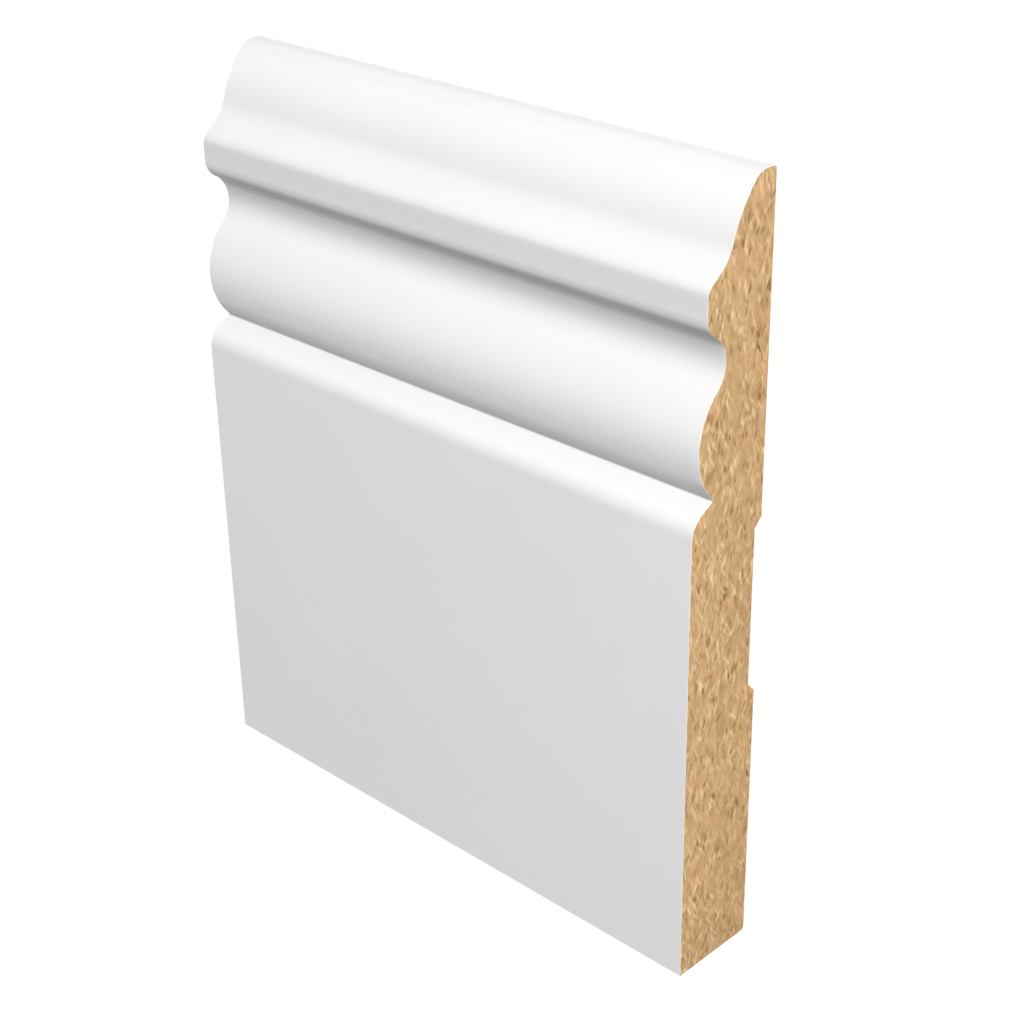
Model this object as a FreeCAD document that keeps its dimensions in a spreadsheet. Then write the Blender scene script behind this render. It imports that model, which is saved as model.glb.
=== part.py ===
"""Skirting board length: one piece of moulded MDF, lying on its back.

Row frame: X runs along the length, Y up the height of the board as fixed to a
wall (the floor edge is at -Y, the moulded edge at +Y), Z out of the back. The
origin is the middle of the back, so the board lies on Z = 0 with its face up.
The board is made as a moulder makes it: a plain strip, one cutter that runs
along the face and the top edge, and one that relieves the back.
"""
import FreeCAD, Part
import math
import os

import Sketcher

NODE = "skirting_board"

# Driving sizes in millimetres and degrees. Depths are measured from the face plane.
SIZES = [
    ("length", 120.0, "cut length of the piece"),
    ("height", 144.0, "floor edge to top edge"),
    ("thickness", 18.0, "back to face"),
    ("arris_radius", 0.7, "eased long edges of the back"),
    ("ogee_height", 17.5, "top edge down to the end of the flat fillet"),
    ("crown_radius", 3.5, "round from the ogee into the top edge"),
    ("ogee_radius", 24.0, "swelling part of the ogee"),
    ("hollow_radius", 7.5, "hollow at the foot of the ogee"),
    ("top_land", 2.4, "flat left on the top edge, over the back"),
    ("slope_angle", 52.5, "lean of the short slope over the fillet"),
    ("slope_length", 2.2, "length of that slope"),
    ("fillet_high_radius", 3.0, "round from the fillet into the slope"),
    ("fillet_low_radius", 4.0, "round from the cove onto the fillet"),
    ("fillet_width", 2.9, "flat part of the fillet"),
    ("fillet_depth", 2.35, "face plane to fillet"),
    ("cove_radius", 5.8, "hollow under the fillet"),
    ("cove_depth", 7.15, "face plane to the bottom of the cove"),
    ("bead_radius", 12.9, "swelling between cove and quirk"),
    ("bead_depth", 1.2, "face plane to the nose of the bead"),
    ("quirk_depth", 4.95, "face plane to the root of the quirk"),
    ("quirk_root_radius", 0.3, "root of the quirk"),
    ("quirk_flank_angle", 61.0, "lean of the quirk's lower flank"),
    ("shoulder_radius", 4.7, "round from the plain face into the quirk"),
    ("relief_rise", 51.3, "floor edge up to the relief of the back"),
    ("relief_width", 33.3, "mouth of the relief"),
    ("relief_depth", 1.7, "depth of the relief"),
    ("relief_flank_angle", 45.0, "lean of the relief's sides"),
    ("cutter_overrun", 5.0, "how far both cutters reach out of the strip"),
]

# How a sketch numbers the points of a curve, and its own two axes. An arc runs
# counter-clockwise from its first end to its last.
FIRST, LAST, CENTRE = range(1, 4)
DEPTH_AXIS, HEIGHT_AXIS = range(-2, 0)
ORIGIN = (HEIGHT_AXIS, FIRST)

doc = FreeCAD.newDocument("skirting_board_length")


def make_sheet(rows):
    """Put the driving sizes in a sheet and return them by name as well."""
    sheet = doc.addObject("Spreadsheet::Sheet", "Sizes")
    for number, (alias, value, note) in enumerate(rows, start=1):
        sheet.set(f"A{number}", alias.replace("_", " "))
        sheet.set(f"B{number}", str(value))
        sheet.setAlias(f"B{number}", alias)
        sheet.set(f"C{number}", note)
    doc.recompute()
    return {alias: float(sheet.get(alias)) for alias, _, _ in rows}


def make_sketch(body, name):
    """Add a sketch on the section plane: height along its first axis, depth up its second."""
    planes = [part for part in body.Origin.OriginFeatures if part.Role == "YZ_Plane"]
    sketch = body.newObject("Sketcher::SketchObject", name)
    sketch.AttachmentSupport = [(planes[0], "")]
    sketch.MapMode = "FlatFace"
    return sketch


def line(start, end):
    return Part.LineSegment(FreeCAD.Vector(*start), FreeCAD.Vector(*end))


def arc(centre, radius, first, last):
    """Arc between two directions from its centre, in degrees."""
    circle = Part.Circle(FreeCAD.Vector(*centre), FreeCAD.Vector(0, 0, 1), radius)
    return Part.ArcOfCircle(circle, math.radians(first), math.radians(last))


def swelling(centre, radius, heading_in, heading_out):
    """Arc round the wood: a walk up the section turns clockwise on it."""
    return arc(centre, radius, heading_out + 90, heading_in + 90)


def hollow(centre, radius, heading_in, heading_out):
    """Arc cut into the wood: a walk up the section turns counter-clockwise on it."""
    return arc(centre, radius, heading_in - 90, heading_out - 90)


def step(start, heading, distance):
    """Point at a distance from another, along a heading in degrees."""
    angle = math.radians(heading)
    return (start[0] + distance * math.cos(angle), start[1] + distance * math.sin(angle))


def heading_to(start, end):
    return math.degrees(math.atan2(end[1] - start[1], end[0] - start[0]))


def under_both(first, first_reach, second, second_reach):
    """Point at its reach from each of two others, under the way from the first to the second."""
    apart = math.dist(first, second)
    along = (apart ** 2 + first_reach ** 2 - second_reach ** 2) / (2 * apart)
    aside = math.sqrt(first_reach ** 2 - along ** 2)
    heading = heading_to(first, second)
    return step(step(first, heading, along), heading - 90, aside)


def run_between(reach, rise):
    """Distance along the height between two centres, from their reach and rise."""
    return math.sqrt(reach ** 2 - rise ** 2)


def tie(sketch, kind, *place):
    """Add a constraint that has no size."""
    sketch.addConstraint(Sketcher.Constraint(kind, *place))


def size(sketch, name, kind, place, formula):
    """Add a dimension to a sketch, driven by a formula on the sheet's names."""
    value = float(sketch.evalExpression(formula))
    if kind == "Angle":
        value = math.radians(value)
    number = sketch.addConstraint(Sketcher.Constraint(kind, *place, value))
    sketch.renameConstraint(number, name)
    sketch.setExpression("Constraints." + name, formula)


def draw_strip(sketch, at):
    """Section of the sawn strip: square at the face, both back edges eased."""
    low = -at["height"] / 2
    high = at["height"] / 2
    top = at["thickness"]
    ease = at["arris_radius"]
    back, high_arris, top_edge, face, floor_edge, low_arris = range(6)
    sketch.addGeometry([
        line((low + ease, 0), (high - ease, 0)),
        arc((high - ease, ease), ease, -90, 0),
        line((high, ease), (high, top)),
        line((high, top), (low, top)),
        line((low, top), (low, ease)),
        arc((low + ease, ease), ease, 180, 270),
    ])
    tie(sketch, "Tangent", back, LAST, high_arris, FIRST)
    tie(sketch, "Tangent", high_arris, LAST, top_edge, FIRST)
    tie(sketch, "Coincident", top_edge, LAST, face, FIRST)
    tie(sketch, "Coincident", face, LAST, floor_edge, FIRST)
    tie(sketch, "Tangent", floor_edge, LAST, low_arris, FIRST)
    tie(sketch, "Tangent", low_arris, LAST, back, FIRST)
    tie(sketch, "Horizontal", back)
    tie(sketch, "Vertical", top_edge)
    tie(sketch, "Vertical", floor_edge)
    tie(sketch, "PointOnObject", back, FIRST, HEIGHT_AXIS)
    tie(sketch, "Symmetric", face, FIRST, face, LAST, DEPTH_AXIS)
    tie(sketch, "Equal", high_arris, low_arris)
    size(sketch, "arris", "Radius", (high_arris,), "Sizes.arris_radius")
    size(sketch, "height", "DistanceX", (face, LAST, face, FIRST), "Sizes.height")
    size(sketch, "thickness", "DistanceY", (*ORIGIN, face, FIRST), "Sizes.thickness")


def draw_moulding_cutter(sketch, at):
    """Outline of the cutter that moulds the face and the top edge.

    It walks up the section, from the plain face over the shoulder, quirk, bead,
    cove, fillet and ogee to the top edge, and closes outside the strip. Each
    arc starts at its true place, so the outline keeps its form at other sizes.
    """
    top = at["thickness"]
    edge = at["height"] / 2
    fillet_rise = top - at["fillet_depth"]
    high_round = at["fillet_high_radius"]
    low_round = at["fillet_low_radius"]
    fillet_high = edge - at["ogee_height"]
    fillet_low = fillet_high - at["fillet_width"]
    slope = -at["slope_angle"]

    # Up from the fillet to the crown. The ogee's swelling touches the hollow and the crown.
    high_corner_centre = (fillet_high, fillet_rise - high_round)
    slope_start = step(high_corner_centre, slope + 90, high_round)
    slope_end = step(slope_start, slope, at["slope_length"])
    hollow_centre = step(slope_end, slope + 90, at["hollow_radius"])
    crown_centre = (edge - at["crown_radius"], at["top_land"])
    ogee_centre = under_both(hollow_centre, at["ogee_radius"] + at["hollow_radius"],
                             crown_centre, at["ogee_radius"] - at["crown_radius"])
    lean = heading_to(hollow_centre, ogee_centre) + 90
    crown_heading = heading_to(ogee_centre, crown_centre) - 90

    # Down from the fillet to the plain face
    low_corner_centre = (fillet_low, fillet_rise - low_round)
    cove_rise = top - at["cove_depth"] + at["cove_radius"]
    cove_run = run_between(at["cove_radius"] + low_round, low_corner_centre[1] - cove_rise)
    cove_centre = (fillet_low - cove_run, cove_rise)
    cove_heading = heading_to(cove_centre, low_corner_centre) + 90
    bead_rise = top - at["bead_depth"] - at["bead_radius"]
    bead_run = run_between(at["bead_radius"] + at["cove_radius"], cove_rise - bead_rise)
    bead_centre = (cove_centre[0] - bead_run, bead_rise)
    bead_heading = heading_to(bead_centre, cove_centre) - 90
    root_rise = top - at["quirk_depth"] + at["quirk_root_radius"]
    root_run = run_between(at["bead_radius"] + at["quirk_root_radius"], root_rise - bead_rise)
    root_centre = (bead_centre[0] - root_run, root_rise)
    root_heading = heading_to(root_centre, bead_centre) + 90
    flank = -at["quirk_flank_angle"]
    flank_end = step(root_centre, flank - 90, at["quirk_root_radius"])
    shoulder_rise = top - at["shoulder_radius"]
    shoulder_point = step((0, shoulder_rise), flank + 90, at["shoulder_radius"])
    flank_length = (shoulder_point[1] - flank_end[1]) / math.sin(-math.radians(flank))
    flank_start = step(flank_end, flank, -flank_length)
    shoulder_centre = (flank_start[0] - shoulder_point[0], shoulder_rise)

    # Outside the strip
    start = (shoulder_centre[0], top)
    out_high = edge + at["cutter_overrun"]
    out_top = top + at["cutter_overrun"]

    (shoulder, quirk_flank, quirk_root, bead, cove, low_corner, fillet, high_corner, short_slope,
     ogee_hollow, ogee, crown, way_out, far_side, cover, way_in) = range(16)
    sketch.addGeometry([
        swelling(shoulder_centre, at["shoulder_radius"], 0, flank),
        line(flank_start, flank_end),
        hollow(root_centre, at["quirk_root_radius"], flank, root_heading),
        swelling(bead_centre, at["bead_radius"], root_heading, bead_heading),
        hollow(cove_centre, at["cove_radius"], bead_heading, cove_heading),
        swelling(low_corner_centre, low_round, cove_heading, 0),
        line((fillet_low, fillet_rise), (fillet_high, fillet_rise)),
        swelling(high_corner_centre, high_round, 0, slope),
        line(slope_start, slope_end),
        hollow(hollow_centre, at["hollow_radius"], slope, lean),
        swelling(ogee_centre, at["ogee_radius"], lean, crown_heading),
        swelling(crown_centre, at["crown_radius"], crown_heading, -90),
        line((edge, crown_centre[1]), (out_high, crown_centre[1])),
        line((out_high, crown_centre[1]), (out_high, out_top)),
        line((out_high, out_top), (start[0], out_top)),
        line((start[0], out_top), start),
    ])

    tie(sketch, "Tangent", shoulder, FIRST, quirk_flank, FIRST)
    tie(sketch, "Tangent", quirk_flank, LAST, quirk_root, FIRST)
    tie(sketch, "Tangent", quirk_root, LAST, bead, LAST)
    tie(sketch, "Tangent", bead, FIRST, cove, FIRST)
    tie(sketch, "Tangent", cove, LAST, low_corner, LAST)
    tie(sketch, "Tangent", low_corner, FIRST, fillet, FIRST)
    tie(sketch, "Tangent", fillet, LAST, high_corner, LAST)
    tie(sketch, "Tangent", high_corner, FIRST, short_slope, FIRST)
    tie(sketch, "Tangent", short_slope, LAST, ogee_hollow, FIRST)
    tie(sketch, "Tangent", ogee_hollow, LAST, ogee, LAST)
    tie(sketch, "Tangent", ogee, FIRST, crown, LAST)
    tie(sketch, "Coincident", crown, FIRST, way_out, FIRST)
    tie(sketch, "Coincident", way_out, LAST, far_side, FIRST)
    tie(sketch, "Coincident", far_side, LAST, cover, FIRST)
    tie(sketch, "Coincident", cover, LAST, way_in, FIRST)
    tie(sketch, "Coincident", way_in, LAST, shoulder, LAST)
    tie(sketch, "Horizontal", fillet)
    tie(sketch, "Horizontal", way_out)
    tie(sketch, "Vertical", far_side)
    tie(sketch, "Horizontal", cover)
    tie(sketch, "Vertical", way_in)

    # The shoulder leaves the face plane smoothly, and the crown the top edge
    tie(sketch, "Vertical", shoulder, CENTRE, shoulder, LAST)
    tie(sketch, "Horizontal", crown, CENTRE, crown, FIRST)

    size(sketch, "shoulder", "Radius", (shoulder,), "Sizes.shoulder_radius")
    size(sketch, "quirk_root", "Radius", (quirk_root,), "Sizes.quirk_root_radius")
    size(sketch, "bead", "Radius", (bead,), "Sizes.bead_radius")
    size(sketch, "cove", "Radius", (cove,), "Sizes.cove_radius")
    size(sketch, "low_corner", "Radius", (low_corner,), "Sizes.fillet_low_radius")
    size(sketch, "high_corner", "Radius", (high_corner,), "Sizes.fillet_high_radius")
    size(sketch, "ogee_hollow", "Radius", (ogee_hollow,), "Sizes.hollow_radius")
    size(sketch, "ogee", "Radius", (ogee,), "Sizes.ogee_radius")
    size(sketch, "crown", "Radius", (crown,), "Sizes.crown_radius")

    size(sketch, "face_plane", "DistanceY", (*ORIGIN, shoulder, LAST), "Sizes.thickness")
    size(sketch, "quirk_centre", "DistanceY", (*ORIGIN, quirk_root, CENTRE),
         "Sizes.thickness - Sizes.quirk_depth + Sizes.quirk_root_radius")
    size(sketch, "bead_centre", "DistanceY", (*ORIGIN, bead, CENTRE),
         "Sizes.thickness - Sizes.bead_depth - Sizes.bead_radius")
    size(sketch, "cove_centre", "DistanceY", (*ORIGIN, cove, CENTRE),
         "Sizes.thickness - Sizes.cove_depth + Sizes.cove_radius")
    size(sketch, "fillet_level", "DistanceY", (*ORIGIN, fillet, FIRST),
         "Sizes.thickness - Sizes.fillet_depth")

    size(sketch, "quirk_flank_angle", "Angle", (quirk_flank,), "-Sizes.quirk_flank_angle")
    size(sketch, "slope_angle", "Angle", (short_slope,), "-Sizes.slope_angle")
    size(sketch, "slope_length", "Distance", (short_slope,), "Sizes.slope_length")
    size(sketch, "fillet_width", "DistanceX", (fillet, FIRST, fillet, LAST), "Sizes.fillet_width")
    size(sketch, "ogee_height", "DistanceX", (fillet, LAST, crown, FIRST), "Sizes.ogee_height")
    size(sketch, "top_edge", "DistanceX", (*ORIGIN, crown, FIRST), "Sizes.height / 2")
    size(sketch, "top_land", "DistanceY", (*ORIGIN, crown, FIRST), "Sizes.top_land")
    size(sketch, "overrun_out", "Distance", (way_out,), "Sizes.cutter_overrun")
    size(sketch, "overrun_up", "Distance", (way_in,), "Sizes.cutter_overrun")


def draw_relief_cutter(sketch, at):
    """Outline of the cutter for the back: a shallow channel with leaning sides."""
    start = at["relief_rise"] - at["height"] / 2
    end = start + at["relief_width"]
    depth = at["relief_depth"]
    lean = depth / math.tan(math.radians(at["relief_flank_angle"]))
    out = -at["cutter_overrun"]
    low_side, floor, high_side, way_out, cover, way_in = range(6)
    sketch.addGeometry([
        line((start, 0), (start + lean, depth)),
        line((start + lean, depth), (end - lean, depth)),
        line((end - lean, depth), (end, 0)),
        line((end, 0), (end, out)),
        line((end, out), (start, out)),
        line((start, out), (start, 0)),
    ])
    for number in range(6):
        tie(sketch, "Coincident", number, LAST, (number + 1) % 6, FIRST)
    tie(sketch, "Horizontal", floor)
    tie(sketch, "Vertical", way_out)
    tie(sketch, "Horizontal", cover)
    tie(sketch, "Vertical", way_in)
    tie(sketch, "PointOnObject", low_side, FIRST, HEIGHT_AXIS)
    tie(sketch, "PointOnObject", high_side, LAST, HEIGHT_AXIS)
    size(sketch, "low_lean", "Angle", (low_side,), "Sizes.relief_flank_angle")
    size(sketch, "high_lean", "Angle", (high_side,), "-Sizes.relief_flank_angle")
    size(sketch, "depth", "DistanceY", (*ORIGIN, floor, FIRST), "Sizes.relief_depth")
    size(sketch, "width", "DistanceX", (low_side, FIRST, high_side, LAST), "Sizes.relief_width")
    size(sketch, "rise", "DistanceX", (low_side, FIRST, *ORIGIN),
         "Sizes.height / 2 - Sizes.relief_rise")
    size(sketch, "overrun", "Distance", (way_in,), "Sizes.cutter_overrun")


def make_board(at):
    """The board: a strip of its full section, then both cutters along its length."""
    body = doc.addObject("PartDesign::Body", "Board")
    body.Label = NODE

    strip_section = make_sketch(body, "StripSection")
    draw_strip(strip_section, at)
    strip = body.newObject("PartDesign::Pad", "Strip")
    strip.Profile = strip_section
    strip.SideType = "Symmetric"
    strip.setExpression("Length", "Sizes.length")

    cuts = [("Moulding", draw_moulding_cutter), ("BackRelief", draw_relief_cutter)]
    for name, draw in cuts:
        cutter_section = make_sketch(body, name + "Section")
        draw(cutter_section, at)
        cut = body.newObject("PartDesign::Pocket", name)
        cut.Profile = cutter_section
        cut.SideType = "Symmetric"
        cut.Type = "Length"
        cut.setExpression("Length", "Sizes.length + 2 * Sizes.cutter_overrun")

    body.Placement = FreeCAD.Placement()
    doc.recompute()
    return body


def check_document():
    """Stop on a failed object, an open sketch or a broken solid."""
    for item in doc.Objects:
        if "Invalid" in item.State or "Error" in item.State:
            raise RuntimeError(f"{item.Name} failed: {item.State}")
        if item.TypeId == "Sketcher::SketchObject" and not item.FullyConstrained:
            raise RuntimeError(f"{item.Name} is not fully constrained")
    for body in doc.findObjects("PartDesign::Body"):
        shape = body.Shape
        if shape.isNull() or not shape.isValid() or len(shape.Solids) != 1:
            raise RuntimeError(f"{body.Label} is not one sound solid")


values = make_sheet(SIZES)
board = make_board(values)
check_document()

os.makedirs("parts", exist_ok=True)
board.Shape.exportStep(f"parts/{board.Label}.step")
box = board.Shape.BoundBox
print(f"{board.Label}: {box.XLength:.2f} x {box.YLength:.2f} x {box.ZLength:.2f} mm,"
      f" {board.Shape.Volume / 1000:.2f} cm3, {len(board.Shape.Faces)} faces")
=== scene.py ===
"""Looks of a short length of moulded skirting board, lying on its back.

The board is MDF, painted white on its face and long edges and bare where it was
cut. X runs along the length, Y up the moulding, Z out of the back. Sizes here
are in millimetres and are turned to metres when they go into Blender.
"""
import math

import bpy
import numpy as np
from mathutils import Euler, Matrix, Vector


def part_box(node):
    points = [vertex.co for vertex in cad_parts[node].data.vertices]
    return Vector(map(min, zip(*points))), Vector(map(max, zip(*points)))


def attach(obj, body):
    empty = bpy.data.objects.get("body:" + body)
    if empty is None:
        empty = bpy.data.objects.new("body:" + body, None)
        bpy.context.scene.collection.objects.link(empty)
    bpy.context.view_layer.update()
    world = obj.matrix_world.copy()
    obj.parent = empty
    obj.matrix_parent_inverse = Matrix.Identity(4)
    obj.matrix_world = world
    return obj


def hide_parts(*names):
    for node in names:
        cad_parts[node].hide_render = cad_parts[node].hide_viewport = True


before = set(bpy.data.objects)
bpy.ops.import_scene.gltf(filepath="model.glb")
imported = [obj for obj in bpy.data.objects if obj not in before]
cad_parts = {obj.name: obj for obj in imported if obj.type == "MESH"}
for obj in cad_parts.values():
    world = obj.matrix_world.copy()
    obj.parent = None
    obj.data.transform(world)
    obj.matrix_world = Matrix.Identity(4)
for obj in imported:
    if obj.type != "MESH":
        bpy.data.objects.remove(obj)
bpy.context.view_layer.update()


# Camera
# It stands off the right end and the moulded edge and looks down on the face,
# turned so that the moulded edge is at the top of the picture.
camera_data = bpy.data.cameras.new("camera")
camera_data.lens = 71.97
camera_data.sensor_width = 36.0
camera = bpy.data.objects.new("camera", camera_data)
camera.location = Vector((238.38, 166.37, 240.52)) / 1000
camera.rotation_euler = Euler([math.radians(turn) for turn in (-28.056, 43.899, -1.281)])
bpy.context.scene.collection.objects.link(camera)
bpy.context.scene.camera = camera


# Skirting board
# One strip of 18 mm medium density fibreboard, run through a moulder that cuts
# the face and relieves the back, then sprayed white and sawn to length.
board_low, board_high = [np.array(corner) * 1000 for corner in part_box("skirting_board")]
length, height, thickness = board_high - board_low
top_edge = height / 2


def arc(centre, radius, first, last):
    """Points round a centre from one direction to another, in degrees.

    Each point is centre + radius * (cos, sin) of its direction. Steps are 4
    degrees or 0.5 mm at most.
    """
    sweep = math.radians(abs(last - first))
    steps = math.ceil(max(abs(last - first) / 4, radius * sweep / 0.5, 2))
    turn = np.radians(np.linspace(first, last, steps + 1))
    return np.stack([centre[0] + radius * np.cos(turn), centre[1] + radius * np.sin(turn)], 1)


def moulded_face():
    """Walk up the section of the face, as points (height, depth) in millimetres.

    It is a chain of tangent arcs. A swelling has its centre in the wood, and is
    walked from heading + 90 degrees downwards. A hollow has its centre in the
    air, and is walked from heading - 90 degrees upwards. The distance between
    two centres is the sum of the radii, which gives each centre from the last.
    """
    ogee_height, top_land, crown_radius, ogee_radius, hollow_radius = 17.5, 2.4, 3.5, 24.0, 7.5
    slope, slope_length, high_radius, low_radius = -52.5, 2.2, 3.0, 4.0
    fillet_width, fillet_depth, cove_radius, cove_depth = 2.9, 2.35, 5.8, 7.15
    bead_radius, bead_depth, root_radius, quirk_depth = 12.9, 1.2, 0.3, 4.95
    flank, shoulder_radius, arris = -61.0, 4.7, 0.25

    def away(start, heading, distance):
        turn = math.radians(heading)
        return start[0] + distance * math.cos(turn), start[1] + distance * math.sin(turn)

    def along(reach, rise):
        return math.sqrt(reach ** 2 - rise ** 2)

    def heading(start, end):
        return math.degrees(math.atan2(end[1] - start[1], end[0] - start[0]))

    # From the fillet up over the ogee to the crown. The ogee's swelling touches
    # the hollow and the crown, so its centre is where two reaches cross.
    fillet_high = top_edge - ogee_height
    high_corner = (fillet_high, thickness - fillet_depth - high_radius)
    slope_start = away(high_corner, slope + 90, high_radius)
    slope_end = away(slope_start, slope, slope_length)
    hollow = away(slope_end, slope + 90, hollow_radius)
    crown = (top_edge - crown_radius, top_land)
    apart = math.dist(hollow, crown)
    hollow_reach, crown_reach = ogee_radius + hollow_radius, ogee_radius - crown_radius
    way = (apart ** 2 + hollow_reach ** 2 - crown_reach ** 2) / (2 * apart)
    straight = heading(hollow, crown)
    ogee = away(away(hollow, straight, way), straight - 90, along(hollow_reach, way))
    ogee_heading = heading(hollow, ogee) + 90
    crown_heading = heading(ogee, crown) - 90

    # From the fillet down over cove, bead and quirk to the plain face
    low_corner = (fillet_high - fillet_width, thickness - fillet_depth - low_radius)
    cove_rise = thickness - cove_depth + cove_radius
    cove_run = along(cove_radius + low_radius, low_corner[1] - cove_rise)
    cove = (low_corner[0] - cove_run, cove_rise)
    cove_heading = heading(cove, low_corner) + 90
    bead_rise = thickness - bead_depth - bead_radius
    bead = (cove[0] - along(bead_radius + cove_radius, cove_rise - bead_rise), bead_rise)
    bead_heading = heading(bead, cove) - 90
    root_rise = thickness - quirk_depth + root_radius
    root = (bead[0] - along(bead_radius + root_radius, root_rise - bead_rise), root_rise)
    root_heading = heading(root, bead) + 90
    flank_end = away(root, flank - 90, root_radius)
    shoulder_rise = thickness - shoulder_radius
    shoulder_top = away((0, shoulder_rise), flank + 90, shoulder_radius)
    flank_drop = shoulder_top[1] - flank_end[1]
    flank_run = flank_drop / math.tan(math.radians(-flank))
    shoulder = (flank_end[0] - flank_run - shoulder_top[0], shoulder_rise)

    floor_arris = arc((arris - top_edge, thickness - arris), arris, 180, 90)
    plain = np.arange(-70.0, shoulder[0] - 0.5, 2.0)
    return np.concatenate([
        floor_arris,
        np.stack([plain, np.full_like(plain, thickness)], 1),
        arc(shoulder, shoulder_radius, 90, flank + 90),
        [away(flank_end, flank + 180, 0.3)],
        arc(root, root_radius, flank - 90, root_heading - 90),
        arc(bead, bead_radius, root_heading + 90, bead_heading + 90)[1:],
        arc(cove, cove_radius, bead_heading - 90, cove_heading - 90)[1:],
        arc(low_corner, low_radius, cove_heading + 90, 90)[1:],
        arc(high_corner, high_radius, 90, slope + 90),
        arc(hollow, hollow_radius, slope - 90, ogee_heading - 90),
        arc(ogee, ogee_radius, ogee_heading + 90, crown_heading + 90)[1:],
        arc(crown, crown_radius, crown_heading + 90, 0)[1:],
    ])


def board_outline():
    """Closed walk round the section, counter-clockwise seen from the right end.

    It goes up the back, over its two eased arrises and through the relief, then
    down the face. Long straight runs get a point every 1.5 mm, spaced by the
    distance walked.
    """
    arris, relief_depth, relief_low, relief_high = 0.7, 1.7, -20.7, 12.6
    corners = np.concatenate([
        arc((arris - top_edge, arris), arris, 180, 270),
        [(relief_low, 0), (relief_low + relief_depth, relief_depth)],
        [(relief_high - relief_depth, relief_depth), (relief_high, 0)],
        arc((top_edge - arris, arris), arris, -90, 0),
        moulded_face()[::-1],
    ])
    closed = np.concatenate([corners, corners[:1]])
    walked = np.concatenate([[0], np.cumsum(np.linalg.norm(np.diff(closed, axis=0), axis=1))])
    regular = np.arange(0, walked[-1], 1.5)
    apart = np.abs(regular[:, None] - walked[None]).min(1) > 0.4
    stops = np.sort(np.concatenate([walked[:-1], regular[apart]]))
    return np.stack([np.interp(stops, walked, closed[:, side]) for side in (0, 1)], 1), stops


def outward_directions(outline):
    """Outward direction at each point: the run from the point before to the one after, turned
    by a right angle."""
    run = np.roll(outline, -1, 0) - np.roll(outline, 1, 0)
    outward = np.stack([run[:, 1], -run[:, 0]], 1)
    return outward / np.linalg.norm(outward, axis=1, keepdims=True)


def painted_shading_share(outline):
    """Share of full white at each point of the outline, as painted shade and light: about 1 at most, under 0
    in the quirk.

    A face that leans 23 degrees down to the floor edge is still full white, and from there the share falls
    evenly to none at 42 degrees, which paints shade on faces that lean down. The floor edge is kept full
    white. On a swelling or in a hollow the share changes by a bell curve: its height up the board, its reach
    and its change. The falls paint shade on the shoulder's round, the cove, the fillet and the ogee's hollow;
    the rises paint light on the shoulder's flank, the bead and the crown. The quirk's root is painted darkest,
    as a shaded crease, and from it the share rises by 6 a millimetre up the shoulder's flank and by 0.37 a
    millimetre up the bead.
    """
    up, outward = outline[:, 0], outward_directions(outline)
    lean = np.degrees(np.arctan2(-outward[:, 0], outward[:, 1]))
    # Faces that lean down get a lower share: painted shade.
    share = np.where(up < -60, 1, np.clip((42 - lean) / 19, 0, 1))
    in_face = outline[:, 1] > 5
    # Bells with a fall paint shade, bells with a rise paint light.
    shoulder_round, shoulder_flank = (15.4, 0.8, -0.13), (18.9, 1.7, 0.20)
    bead, cove = (32.0, 6.0, 0.12), (44.0, 2.4, -0.31)
    fillet_low, fillet, fillet_high = (48.9, 1.1, -0.26), (53.4, 2.2, -0.32), (55.1, 0.5, -0.22)
    ogee_hollow, crown = (62.6, 2.0, -0.10), (68.5, 3.5, 0.12)
    for middle, reach, change in (shoulder_round, shoulder_flank, bead, cove, fillet_low,
                                  fillet, fillet_high, ogee_hollow, crown):
        share = share + in_face * change * np.exp(-((up - middle) / reach) ** 2)
    # The quirk's root is painted as a dark shaded crease.
    root_low, root_high = 20.25, 20.8
    from_root = np.where(up < 20.6, 6.0 * (root_low - up), 0.37 * (up - root_high))
    return np.where(in_face, np.minimum(share, np.maximum(from_root, 0) - 0.3), share)


def carried_board(outline, walked):
    """Carry the outline along the length and close both ends, as (points, faces, place).

    Near the ends the outline is moved in along its own outward direction, by a
    quarter round, which eases the sawn arrises. The place of a face is 0 for
    paint, 1 for a cut end and 2 for the bare back.
    """
    outward = outward_directions(outline)
    ease = 0.07
    turn = np.radians([90, 60, 30, 0])
    end_x = length / 2 - ease * (1 - np.cos(turn))
    end_in = ease * (1 - np.sin(turn))
    near_end = length / 2 - 0.2
    middle = np.concatenate([[-near_end], np.linspace(-length / 2 + 2, length / 2 - 2, 30), [near_end]])
    stations = np.concatenate([-end_x[::-1], middle, end_x])
    inset = np.concatenate([end_in[::-1], np.zeros_like(middle), end_in])

    # Saw and handling leave the arris of a cut a little uneven
    uneven = 1 + 0.35 * np.sin(2.1 * walked) * np.sin(0.37 * walked + 1)
    ring = outline[None] - (inset[:, None] * uneven[None])[:, :, None] * outward[None]
    across = np.broadcast_to(stations[:, None, None], (*ring.shape[:2], 1))
    points = np.concatenate([across, ring], 2).reshape(-1, 3)

    count = len(outline)
    rows = np.arange(len(stations) - 1)[:, None] * count
    here = rows + np.arange(count)[None]
    ahead = rows + np.roll(np.arange(count), -1)[None]
    sides = np.stack([here, ahead, ahead + count, here + count], 2).reshape(-1, 4)
    bare = (outline[:, 1] < 2) & (np.abs(outline[:, 0]) <= top_edge - 0.699)
    bare &= np.roll(bare, -1)
    right_end = np.arange(count) + count * (len(stations) - 1)
    left_end = np.arange(count)[::-1]
    faces = sides.tolist() + [right_end.tolist(), left_end.tolist()]
    place = np.concatenate([np.where(np.tile(bare, len(stations) - 1), 2, 0), [1, 1]])
    return points, faces, place, len(stations)


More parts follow.
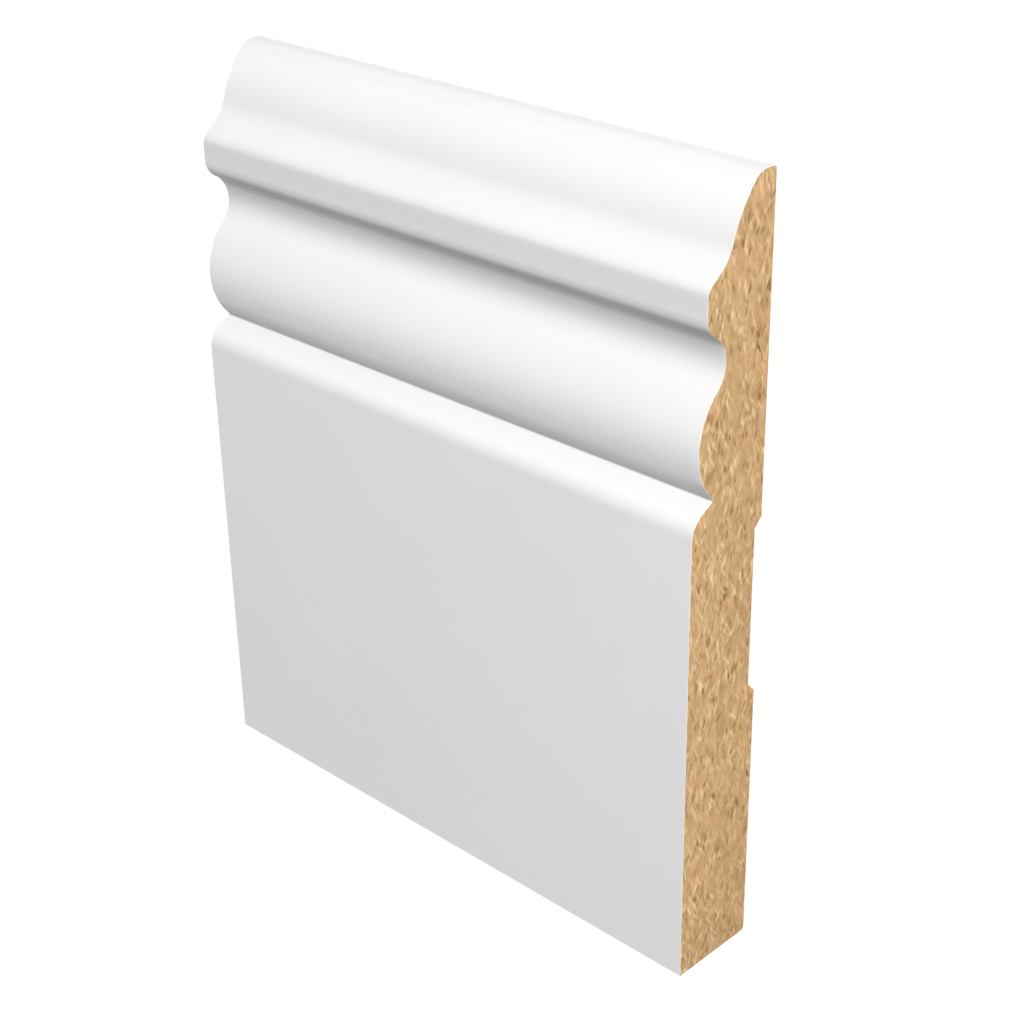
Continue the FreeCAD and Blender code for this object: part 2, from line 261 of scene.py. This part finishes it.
outline, walked = board_outline()
points, faces, place, stations = carried_board(outline, walked)
board_mesh = bpy.data.meshes.new("moulded_board")
board_mesh.from_pydata(points / 1000, [], faces)
board_mesh.polygons.foreach_set("material_index", place.astype(np.int32))
# Painted shade and light for the white paint, one value per point.
painted_shading = board_mesh.attributes.new("painted_shading", "FLOAT", "POINT")
painted_shading.data.foreach_set("value", np.tile(painted_shading_share(outline), stations).astype(np.float32))
board_mesh.shade_smooth()
board_mesh.set_sharp_from_angle(angle=math.radians(20))
board = bpy.data.objects.new("moulded_board", board_mesh)
bpy.context.scene.collection.objects.link(board)


def linear(code):
    """sRGB hex colour to the linear RGBA that a socket wants."""
    parts = [int(code[at:at + 2], 16) / 255 for at in (1, 3, 5)]
    return [*(((c + 0.055) / 1.055) ** 2.4 if c > 0.04045 else c / 12.92 for c in parts), 1.0]


def add_node(tree, kind, feeds=None, **settings):
    """Add a node: settings are its own properties, feeds its inputs by name or number."""
    made = tree.nodes.new(kind)
    for name, value in settings.items():
        setattr(made, name, value)
    for socket, value in (feeds or {}).items():
        if isinstance(value, bpy.types.NodeSocket):
            tree.links.new(value, made.inputs[socket])
        else:
            made.inputs[socket].default_value = value
    return made


def start_material(name):
    """New material with an empty node tree, as (material, tree)."""
    material = bpy.data.materials.new(name)
    material.use_nodes = True
    material.node_tree.nodes.clear()
    return material, material.node_tree


# White paint
# Water-based satin primer and topcoat, sprayed on the moulded face, the top edge and the floor edge. It gives
# a near neutral white, a broad soft sheen, and the slight orange peel and cloudiness of a sprayed coat.
# Painted shade greys the white in the quirk, the cove, the fillet and on faces that lean down, and painted
# light whitens it on the bead, the shoulder's flank and the crown.
paint, tree = start_material("sprayed_satin_paint")
where = add_node(tree, "ShaderNodeTexCoord").outputs["Object"]
in_mm = add_node(tree, "ShaderNodeMapping", {"Vector": where, "Scale": (1000, 1000, 1000)})
in_mm = in_mm.outputs[0]
cloud = add_node(tree, "ShaderNodeTexNoise", {"Vector": in_mm, "Scale": 1 / 26, "Detail": 3})
# Painted shade and light from the mesh, plus the coat's real random cloudiness.
painted_shading_here = add_node(tree, "ShaderNodeAttribute", attribute_name="painted_shading")
cloud_and_painted_shade = add_node(tree, "ShaderNodeMath", {0: cloud.outputs[0], 1: 0.12, 2: painted_shading_here.outputs["Fac"]},
                   operation="MULTIPLY_ADD")
cloud_and_painted_shade = add_node(tree, "ShaderNodeMapRange", {"Value": cloud_and_painted_shade.outputs[0], "From Min": -0.34,
                                                "From Max": 1.21})
# AAAAA9 is the painted shade grey at the lowest share, #ECECEC the full white.
colour = add_node(tree, "ShaderNodeMix", {0: cloud_and_painted_shade.outputs[0], 6: linear("#AAAAA9"), 7: linear("#ECECEC")},
                  data_type="RGBA")
patchy = add_node(tree, "ShaderNodeTexNoise", {"Vector": in_mm, "Scale": 1 / 7, "Detail": 4})
sheen = add_node(tree, "ShaderNodeMapRange", {"Value": patchy.outputs[0], "From Min": 0.3, "From Max": 0.7,
                                              "To Min": 0.44, "To Max": 0.52})
peel = add_node(tree, "ShaderNodeTexNoise", {"Vector": in_mm, "Scale": 1 / 2.4, "Detail": 2})
grit = add_node(tree, "ShaderNodeTexNoise", {"Vector": in_mm, "Scale": 1 / 0.35, "Detail": 2})
peel_bump = add_node(tree, "ShaderNodeBump", {"Height": peel.outputs[0], "Distance": 0.000018,
                                              "Strength": 1.0})
grit_bump = add_node(tree, "ShaderNodeBump", {"Height": grit.outputs[0], "Distance": 0.000002,
                                              "Strength": 1.0, "Normal": peel_bump.outputs[0]})
surface = add_node(tree, "ShaderNodeBsdfPrincipled", {
    "Base Color": colour.outputs[2],
    "Roughness": sheen.outputs[0],
    "IOR": 1.5,
    "Normal": grit_bump.outputs[0],
})
add_node(tree, "ShaderNodeOutputMaterial", {"Surface": surface.outputs[0]})


# Cut ends
# Medium density fibreboard sawn across and left bare. It gives a warm tan of
# crossing slivers that run mostly up the board, pale where a fibre bundle was cut
# along, dark where one was torn out, and it is quite matt.
cut_fibreboard, tree = start_material("sawn_fibreboard")
where = add_node(tree, "ShaderNodeTexCoord").outputs["Object"]
parts = add_node(tree, "ShaderNodeSeparateXYZ", {0: where})
in_mm = add_node(tree, "ShaderNodeCombineXYZ", {0: parts.outputs[2], 1: parts.outputs[1], 2: parts.outputs[0]})
in_mm = add_node(tree, "ShaderNodeMapping", {"Vector": in_mm.outputs[0], "Scale": (1000, 1000, 0.35)})
in_mm = in_mm.outputs[0]

# The slivers bend round each other, so the pattern's own coordinates wander
wander = add_node(tree, "ShaderNodeTexNoise", {"Vector": in_mm, "Scale": 1 / 5.0, "Detail": 1})
wander = add_node(tree, "ShaderNodeVectorMath", {0: wander.outputs[1], 1: (0.5, 0.5, 0.5)},
                  operation="SUBTRACT")
wander = add_node(tree, "ShaderNodeVectorMath", {0: wander.outputs[0], 1: (1.8, 0.8, 0), 2: in_mm},
                  operation="MULTIPLY_ADD")
bent = wander.outputs[0]


def turned(tree, vector, degrees, cell):
    """The pattern's coordinates turned, then counted in cells of a width and a height in mm."""
    turned_vector = add_node(tree, "ShaderNodeMapping", {
        "Vector": vector,
        "Rotation": (0, 0, math.radians(degrees)),
    })
    return add_node(tree, "ShaderNodeMapping", {
        "Vector": turned_vector.outputs[0],
        "Scale": (1 / cell[0], 1 / cell[1], 1),
    }).outputs[0]


def sliver_layer(tree, vector, cell, size, swing, share):
    """One sliver or fleck in each cell of a Voronoi pattern: 1 on it, 0 off it.

    Cells and slivers have a width and a height in mm. The way from the cell's
    own point is turned by a random angle up to swing degrees either way, and
    divided by the sliver's half width and half height. Where that is shorter
    than 1 the place lies on the sliver. Only a share of the cells has one.
    """
    counted = add_node(tree, "ShaderNodeVectorMath", {0: vector, 1: (1 / cell[0], 1 / cell[1], 0)},
                       operation="MULTIPLY")
    cells = add_node(tree, "ShaderNodeTexVoronoi", {"Vector": counted.outputs[0], "Scale": 1.0},
                     voronoi_dimensions="2D")
    away = add_node(tree, "ShaderNodeVectorMath", {0: counted.outputs[0], 1: cells.outputs["Position"]},
                    operation="SUBTRACT")
    away = add_node(tree, "ShaderNodeVectorMath", {0: away.outputs[0], 1: (cell[0], cell[1], 0)},
                    operation="MULTIPLY")
    chance = add_node(tree, "ShaderNodeSeparateColor", {0: cells.outputs["Color"]})
    angle = add_node(tree, "ShaderNodeMapRange", {"Value": chance.outputs[0],
                                                  "To Min": -math.radians(swing),
                                                  "To Max": math.radians(swing)})
    laid = add_node(tree, "ShaderNodeVectorRotate", {"Vector": away.outputs[0],
                                                     "Angle": angle.outputs[0]},
                    rotation_type="Z_AXIS")
    scaled = add_node(tree, "ShaderNodeVectorMath", {0: laid.outputs[0],
                                                     1: (2 / size[0], 2 / size[1], 0)},
                      operation="MULTIPLY")
    far = add_node(tree, "ShaderNodeVectorMath", {0: scaled.outputs[0]}, operation="LENGTH")
    on = add_node(tree, "ShaderNodeMapRange", {"Value": far.outputs["Value"], "From Min": 1.2,
                                               "From Max": 0.5}, interpolation_type="SMOOTHSTEP")
    there = add_node(tree, "ShaderNodeMath", {0: chance.outputs[1], 1: share}, operation="LESS_THAN")
    some = add_node(tree, "ShaderNodeMath", {0: chance.outputs[2], 1: 0.7, 2: 0.3},
                    operation="MULTIPLY_ADD")
    kept = add_node(tree, "ShaderNodeMath", {0: on.outputs[0], 1: there.outputs[0]},
                    operation="MULTIPLY")
    return add_node(tree, "ShaderNodeMath", {0: kept.outputs[0], 1: some.outputs[0]},
                    operation="MULTIPLY").outputs[0]


def summed(tree, layers):
    """Add layers up: each is a pattern times its weight, on top of the one before."""
    total = 0.5 - sum(middle * weight for _, middle, weight in layers)
    for value, _, weight in layers:
        total = add_node(tree, "ShaderNodeMath", {0: value, 1: weight, 2: total},
                         operation="MULTIPLY_ADD").outputs[0]
    return total


right_chips = add_node(tree, "ShaderNodeTexVoronoi", {
    "Vector": turned(tree, bent, 22, (0.85, 2.2)), "Scale": 1.0, "Smoothness": 0.3,
}, voronoi_dimensions="2D", feature="SMOOTH_F1")
left_chips = add_node(tree, "ShaderNodeTexVoronoi", {
    "Vector": turned(tree, bent, -18, (0.85, 2.2)), "Scale": 1.0, "Smoothness": 0.3,
}, voronoi_dimensions="2D", feature="SMOOTH_F1")
right_tone = add_node(tree, "ShaderNodeSeparateColor", {0: right_chips.outputs["Color"]}).outputs[0]
left_tone = add_node(tree, "ShaderNodeSeparateColor", {0: left_chips.outputs["Color"]}).outputs[0]
fibres = []
for turn in (22, 0, -18):
    made = add_node(tree, "ShaderNodeTexNoise", {
        "Vector": turned(tree, bent, turn, (0.60, 2.5)),
        "Scale": 1.0,
        "Detail": 3,
        "Roughness": 0.6,
    })
    fibres.append(made.outputs[0])
specks = add_node(tree, "ShaderNodeTexNoise", {"Vector": in_mm, "Scale": 1 / 0.5, "Detail": 3,
                                               "Roughness": 0.6}).outputs[0]
right_pale = sliver_layer(tree, turned(tree, bent, 24, (1, 1)), (2.1, 4.0), (0.60, 3.8), 16, 0.75)
left_pale = sliver_layer(tree, turned(tree, bent, -20, (1, 1)), (2.2, 3.8), (0.60, 3.4), 16, 0.75)
pale_chip = sliver_layer(tree, turned(tree, bent, 8, (1, 1)), (3.0, 3.9), (0.95, 1.7), 25, 0.6)
dark = sliver_layer(tree, turned(tree, bent, -8, (1, 1)), (2.0, 3.0), (0.58, 1.8), 20, 0.75)
darker = sliver_layer(tree, turned(tree, bent, 10, (1, 1)), (4.2, 5.5), (0.80, 1.7), 25, 0.8)
tone = summed(tree, [
    (right_tone, 0.5, 0.18),
    (left_tone, 0.5, 0.15),
    (fibres[0], 0.5, 0.38),
    (fibres[1], 0.5, 0.44),
    (fibres[2], 0.5, 0.38),
    (specks, 0.5, 0.36),
    (right_pale, 0.13, 0.36),
    (left_pale, 0.13, 0.36),
    (pale_chip, 0.08, 0.36),
    (dark, 0.12, -0.40),
    (darker, 0.1, -0.44),
])

# Slivers crowd together in some places and lie under finer stuff in others
crowd = add_node(tree, "ShaderNodeTexNoise", {"Vector": in_mm, "Scale": 1 / 5.5, "Detail": 2})
crowd = add_node(tree, "ShaderNodeMapRange", {"Value": crowd.outputs[0], "From Min": 0.36, "From Max": 0.64,
                                              "To Min": 0.48, "To Max": 1.26})
tone = add_node(tree, "ShaderNodeMath", {0: tone, 1: 0.5}, operation="SUBTRACT")
tone = add_node(tree, "ShaderNodeMath", {0: tone.outputs[0], 1: crowd.outputs[0], 2: 0.5},
                operation="MULTIPLY_ADD").outputs[0]
wood = add_node(tree, "ShaderNodeValToRGB", {0: tone})
wood.color_ramp.elements[0].color = linear("#906D42")
wood.color_ramp.elements[1].color = linear("#E6C79B")
for position, code in ((0.3, "#AC895D"), (0.5, "#C29F72"), (0.72, "#D4B284")):
    wood.color_ramp.elements.new(position).color = linear(code)
batch = add_node(tree, "ShaderNodeTexNoise", {"Vector": in_mm, "Scale": 1 / 5.0, "Detail": 1})
rosy = add_node(tree, "ShaderNodeMapRange", {"Value": batch.outputs[0], "From Min": 0.56, "From Max": 0.72,
                                             "To Max": 0.3})
green = add_node(tree, "ShaderNodeMapRange", {"Value": batch.outputs[0], "From Min": 0.44, "From Max": 0.28,
                                              "To Max": 0.22})
tinted = add_node(tree, "ShaderNodeMix", {0: rosy.outputs[0], 6: wood.outputs[0], 7: linear("#D2A07A")},
                  data_type="RGBA")
tinted = add_node(tree, "ShaderNodeMix", {0: green.outputs[0], 6: tinted.outputs[2], 7: linear("#B4A066")},
                  data_type="RGBA")
fuzz = add_node(tree, "ShaderNodeBump", {"Height": tone, "Distance": 0.00008, "Strength": 1.0})
dull = add_node(tree, "ShaderNodeMapRange", {"Value": tone, "To Min": 0.92, "To Max": 0.72})
surface = add_node(tree, "ShaderNodeBsdfPrincipled", {
    "Base Color": tinted.outputs[2],
    "Roughness": dull.outputs[0],
    "IOR": 1.45,
    "Specular IOR Level": 0.2,
    "Normal": fuzz.outputs[0],
})
add_node(tree, "ShaderNodeOutputMaterial", {"Surface": surface.outputs[0]})


# Bare back
# The same board, calibrated by wide sanding belts along its length and then
# relieved by a cutter. It gives an even light brown with short fine fibres, faint
# scratches along the length, and paint mist that strayed over both long edges.
bare_back, tree = start_material("sanded_fibreboard")
where = add_node(tree, "ShaderNodeTexCoord").outputs["Object"]
in_mm = add_node(tree, "ShaderNodeMapping", {"Vector": where, "Scale": (1000, 1000, 1000)}).outputs[0]
short_fibres = add_node(tree, "ShaderNodeTexVoronoi", {"Vector": in_mm, "Scale": 1 / 0.9, "Smoothness": 0.5},
                        voronoi_dimensions="2D", feature="SMOOTH_F1")
short_fibres = add_node(tree, "ShaderNodeSeparateColor", {0: short_fibres.outputs["Color"]}).outputs[0]
felt = add_node(tree, "ShaderNodeTexNoise", {"Vector": in_mm, "Scale": 1 / 0.5, "Detail": 4,
                                             "Roughness": 0.65}).outputs[0]
cloudy = add_node(tree, "ShaderNodeTexNoise", {"Vector": in_mm, "Scale": 1 / 16, "Detail": 2}).outputs[0]
scratch_place = add_node(tree, "ShaderNodeMapping", {"Vector": in_mm, "Scale": (1 / 18, 1 / 0.25, 1)})
scratches = add_node(tree, "ShaderNodeTexNoise", {"Vector": scratch_place.outputs[0], "Scale": 1.0,
                                                  "Detail": 2}).outputs[0]
pale_fleck = sliver_layer(tree, in_mm, (2.2, 2.2), (0.25, 1.6), 90, 0.7)
dark_fleck = sliver_layer(tree, turned(tree, in_mm, 40, (1, 1)), (3.4, 3.4), (0.3, 1.1), 90, 0.7)
tone = summed(tree, [
    (short_fibres, 0.5, 0.14),
    (felt, 0.5, 0.5),
    (cloudy, 0.5, 0.35),
    (scratches, 0.5, 0.22),
    (pale_fleck, 0.1, 0.16),
    (dark_fleck, 0.1, -0.24),
])
wood = add_node(tree, "ShaderNodeValToRGB", {0: tone})
wood.color_ramp.elements[0].color = linear("#A98458")
wood.color_ramp.elements[1].color = linear("#E3C49B")
apart = add_node(tree, "ShaderNodeSeparateXYZ", {0: in_mm})
edge_way = add_node(tree, "ShaderNodeMath", {0: apart.outputs[1]}, operation="ABSOLUTE")
stray = add_node(tree, "ShaderNodeTexNoise", {"Vector": in_mm, "Scale": 1 / 3.0, "Detail": 4})
edge_way = add_node(tree, "ShaderNodeMath", {0: stray.outputs[0], 1: 2.2, 2: edge_way.outputs[0]},
                    operation="MULTIPLY_ADD")
mist = add_node(tree, "ShaderNodeMapRange", {"Value": edge_way.outputs[0], "From Min": 71.2, "From Max": 72.4,
                                             "To Max": 0.92})
colour = add_node(tree, "ShaderNodeMix", {0: mist.outputs[0], 6: wood.outputs[0], 7: linear("#E9E7E2")},
                  data_type="RGBA")
nap = add_node(tree, "ShaderNodeBump", {"Height": tone, "Distance": 0.00005, "Strength": 1.0})
dull = add_node(tree, "ShaderNodeMapRange", {"Value": tone, "To Min": 0.85, "To Max": 0.62})
surface = add_node(tree, "ShaderNodeBsdfPrincipled", {
    "Base Color": colour.outputs[2],
    "Roughness": dull.outputs[0],
    "IOR": 1.45,
    "Normal": nap.outputs[0],
})
add_node(tree, "ShaderNodeOutputMaterial", {"Surface": surface.outputs[0]})

for finish in (paint, cut_fibreboard, bare_back):
    board_mesh.materials.append(finish)
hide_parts("skirting_board")
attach(board, "root")


# Floor and studio light
# A pale matt floor under the board, a large soft lamp beyond the moulded edge, weaker ones off both ends, a
# low strip before the floor edge, and an even white room. The floor's own glow is taken down by position under
# the board's relief, which paints the shadow in the gap.
floor_mesh = bpy.data.meshes.new("floor")
floor_mesh.from_pydata([(-3, -3, 0), (3, -3, 0), (3, 3, 0), (-3, 3, 0)], [], [(0, 1, 2, 3)])
floor = bpy.data.objects.new("floor", floor_mesh)
bpy.context.scene.collection.objects.link(floor)
floor_finish, tree = start_material("pale_floor")
matt = add_node(tree, "ShaderNodeBsdfDiffuse", {"Color": linear("#D8D8D8")})
where = add_node(tree, "ShaderNodeTexCoord").outputs["Object"]
apart = add_node(tree, "ShaderNodeSeparateXYZ", {0: where})
# Painted shadow: the glow fades out under the board, inside its ends and within 60 mm across.
along = add_node(tree, "ShaderNodeMath", {0: apart.outputs[0]}, operation="ABSOLUTE")
along = add_node(tree, "ShaderNodeMapRange", {"Value": along.outputs[0], "From Min": 0.0570,
                                              "From Max": 0.0587, "To Min": 0.08, "To Max": 1.17})
across = add_node(tree, "ShaderNodeMath", {0: apart.outputs[1]}, operation="ABSOLUTE")
across = add_node(tree, "ShaderNodeMapRange", {"Value": across.outputs[0], "From Min": 0.05,
                                               "From Max": 0.06, "To Max": 1.17})
glow = add_node(tree, "ShaderNodeMath", {0: along.outputs[0], 1: across.outputs[0]}, operation="MAXIMUM")
glow = add_node(tree, "ShaderNodeEmission", {"Color": (1, 1, 1, 1), "Strength": glow.outputs[0]})
lit = add_node(tree, "ShaderNodeMixShader", {0: 0.80, 1: matt.outputs[0], 2: glow.outputs[0]})
rays = add_node(tree, "ShaderNodeLightPath")
seen = add_node(tree, "ShaderNodeMath", {0: rays.outputs["Is Camera Ray"], 1: rays.outputs["Is Glossy Ray"]},
                operation="MAXIMUM")
seen = add_node(tree, "ShaderNodeMath", {0: seen.outputs[0], 1: rays.outputs["Is Transmission Ray"]},
                operation="MAXIMUM")
shown = add_node(tree, "ShaderNodeMixShader", {0: seen.outputs[0], 1: matt.outputs[0], 2: lit.outputs[0]})
add_node(tree, "ShaderNodeOutputMaterial", {"Surface": shown.outputs[0]})
floor_mesh.materials.append(floor_finish)

lamps = [
    ("key_lamp", (0.56, 0.86, 0.86), (0.65, 0.65), 16.9),
    ("end_lamp", (1.00, 0.10, 0.20), (0.5, 0.3), 3.4),
    ("far_end_lamp", (-1.00, 0.10, 0.14), (0.5, 0.2), 3.2),
    ("floor_edge_lamp", (0.00, -1.00, 0.05), (0.6, 0.08), 2.4),
]
for name, place_m, (width, depth), power in lamps:
    lamp_data = bpy.data.lights.new(name, "AREA")
    lamp_data.shape = "RECTANGLE"
    lamp_data.size = width
    lamp_data.size_y = depth
    lamp_data.energy = power
    lamp = bpy.data.objects.new(name, lamp_data)
    lamp.location = place_m
    lamp.visible_glossy = name in ("key_lamp", "end_lamp")
    lamp.rotation_euler = (-Vector(place_m)).to_track_quat("-Z", "Y").to_euler()
    bpy.context.scene.collection.objects.link(lamp)

room = bpy.data.worlds.new("white_room")
bpy.context.scene.world = room
room.use_nodes = True
tree = room.node_tree
tree.nodes.clear()
dim = add_node(tree, "ShaderNodeBackground", {"Color": (1, 1, 1, 1), "Strength": 0.16})
bright = add_node(tree, "ShaderNodeBackground", {"Color": (1, 1, 1, 1), "Strength": 1.0})
rays = add_node(tree, "ShaderNodeLightPath")
seen = add_node(tree, "ShaderNodeMath", {0: rays.outputs["Is Camera Ray"], 1: rays.outputs["Is Glossy Ray"]},
                operation="MAXIMUM")
seen = add_node(tree, "ShaderNodeMath", {0: seen.outputs[0], 1: rays.outputs["Is Transmission Ray"]},
                operation="MAXIMUM")
shown = add_node(tree, "ShaderNodeMixShader", {0: seen.outputs[0], 1: dim.outputs[0], 2: bright.outputs[0]})
add_node(tree, "ShaderNodeOutputWorld", {"Surface": shown.outputs[0]})

bpy.context.scene.view_settings.view_transform = "Standard"
